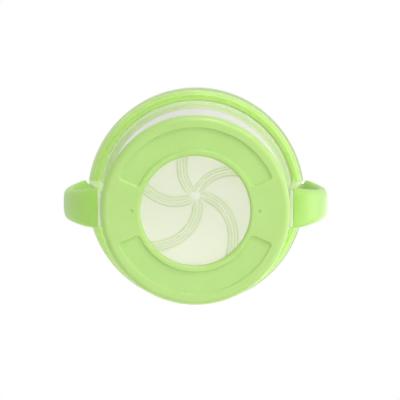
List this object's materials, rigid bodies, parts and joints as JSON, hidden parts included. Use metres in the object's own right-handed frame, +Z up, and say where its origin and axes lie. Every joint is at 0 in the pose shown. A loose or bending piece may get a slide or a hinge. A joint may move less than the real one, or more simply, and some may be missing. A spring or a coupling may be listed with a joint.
{
  "type": "toddler snack cup",
  "caption": "Clear snack cup for a toddler with two loop handles, a soft base ring, a press-on lid with curved flaps round a hand hole, and a clear travel cover.",
  "frame": {"origin": "middle of the underside of the base ring, on the surface that the cup stands on", "axes": "+Z up along the cup's axis, +X towards the right handle, with both handles on the X axis"},
  "size_m": [0.1156, 0.098, 0.091],
  "materials": {
    "clear_plastic": "clear gloss",
    "soft_green": "satin, soft to the touch",
    "collar_green": "semi-gloss",
    "silicone": "translucent satin",
    "clear_cover": "clear gloss"
  },
  "bodies": {
    "cup": {"cup_body": "clear_plastic", "base_ring": "soft_green", "handle_left": "soft_green", "handle_right": "soft_green"},
    "lid": {"lid_collar": "collar_green", "flap_membrane": "silicone"},
    "flap_1": {"flap_1": "silicone"},
    "flap_2": {"flap_2": "silicone"},
    "flap_3": {"flap_3": "silicone"},
    "flap_4": {"flap_4": "silicone"},
    "flap_5": {"flap_5": "silicone"},
    "cover": {"travel_cover": "clear_cover"}
  },
  "joints": [
    {"name": "lid_lift", "type": "slide", "parent": "cup", "child": "lid", "axis": [0, 0, 1], "range_m": [0, 0.04]},
    {"name": "cover_lift", "type": "slide", "parent": "lid", "child": "cover", "axis": [0, 0, 1], "range_m": [0, 0.03]},
    {"name": "flap_1_bend", "type": "hinge", "parent": "lid", "child": "flap_1", "pos_m": [0.00051, 0.02647, 0.0736], "axis": [0.9568, 0.2907, 0], "range_deg": [-30, 75], "stiffness_Nm_per_rad": 0.004},
    {"name": "flap_2_bend", "type": "hinge", "parent": "lid", "child": "flap_2", "pos_m": [-0.02502, 0.00867, 0.0736], "axis": [0.0192, 0.9998, 0], "range_deg": [-30, 75], "stiffness_Nm_per_rad": 0.004},
    {"name": "flap_3_bend", "type": "hinge", "parent": "lid", "child": "flap_3", "pos_m": [-0.01597, -0.02111, 0.0736], "axis": [-0.9449, 0.3273, 0], "range_deg": [-30, 75], "stiffness_Nm_per_rad": 0.004},
    {"name": "flap_4_bend", "type": "hinge", "parent": "lid", "child": "flap_4", "pos_m": [0.01515, -0.02172, 0.0736], "axis": [-0.6032, -0.7976, 0], "range_deg": [-30, 75], "stiffness_Nm_per_rad": 0.004},
    {"name": "flap_5_bend", "type": "hinge", "parent": "lid", "child": "flap_5", "pos_m": [0.02533, 0.00769, 0.0736], "axis": [0.5721, -0.8202, 0], "range_deg": [-30, 75], "stiffness_Nm_per_rad": 0.004}
  ]
}
